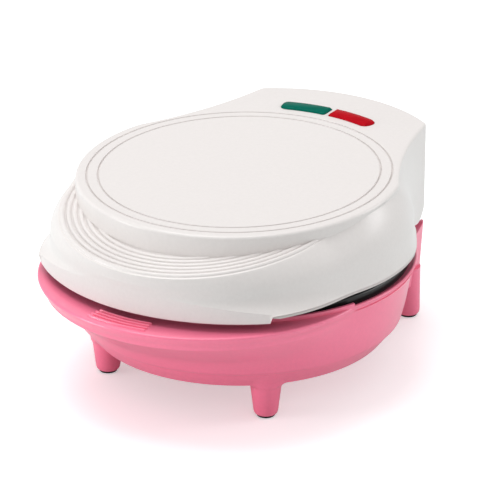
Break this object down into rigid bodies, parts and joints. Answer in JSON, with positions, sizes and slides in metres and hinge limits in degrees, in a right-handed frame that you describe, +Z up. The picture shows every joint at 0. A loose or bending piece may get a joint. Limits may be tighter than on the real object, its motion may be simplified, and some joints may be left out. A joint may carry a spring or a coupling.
{
  "type": "cupcake maker",
  "caption": "Countertop electric cupcake maker: round bowl-shaped base on legs with a front ledge, hinged domed lid, non-stick cupcake plates and indicator lights.",
  "frame": {"origin": "bottom centre of the bounding box, on the table", "axes": "+X to the machine's right as its user faces it, +Y to its rear, where the hinge is, +Z up"},
  "size_m": [0.261, 0.3288, 0.1553],
  "materials": {
    "pink_shell": "glossy pink moulding",
    "white_shell": "glossy white moulding",
    "non_stick": "black non-stick coating",
    "rubber": "matt black",
    "steel": "plain",
    "sheath": "heat-dulled",
    "green_lens": "glossy green lens",
    "red_lens": "glossy red lens",
    "lamp_glass": "clear",
    "ceramic": "matt cream",
    "sleeve": "woven glass sleeve"
  },
  "bodies": {
    "base": {"base_shell": "pink_shell", "bottom_cover": "pink_shell", "front_left_foot": "rubber", "front_right_foot": "rubber", "rear_left_foot": "rubber", "rear_right_foot": "rubber", "lower_baking_plate": "non_stick", "lower_heating_element": "sheath", "lower_heat_shield": "steel", "thermostat": "ceramic", "thermal_fuse": "sleeve", "terminal_block": "ceramic", "cord_gland": "rubber", "left_hinge_pin": "steel", "right_hinge_pin": "steel", "lower_plate_screw_1": "steel", "lower_plate_screw_2": "steel", "lower_plate_screw_3": "steel", "lower_shield_screw_1": "steel", "lower_shield_screw_2": "steel", "lower_shield_screw_3": "steel", "bottom_cover_screw_1": "steel", "bottom_cover_screw_2": "steel", "bottom_cover_screw_3": "steel", "bottom_cover_screw_4": "steel"},
    "lid": {"lid_shell": "white_shell", "upper_baking_plate": "non_stick", "upper_heating_element": "sheath", "upper_heat_shield": "steel", "green_ready_lens": "green_lens", "red_power_lens": "red_lens", "green_lamp": "lamp_glass", "red_lamp": "lamp_glass", "lamp_holder": "ceramic", "upper_plate_screw_1": "steel", "upper_plate_screw_2": "steel", "upper_plate_screw_3": "steel", "upper_shield_screw_1": "steel", "upper_shield_screw_2": "steel", "upper_shield_screw_3": "steel", "lamp_holder_screw_left": "steel", "lamp_holder_screw_right": "steel"}
  },
  "joints": [
    {"name": "lid_hinge", "type": "hinge", "parent": "base", "child": "lid", "pos_m": [0, 0.1259, 0.097], "axis": [-1, 0, 0], "range_deg": [0, 95]}
  ]
}
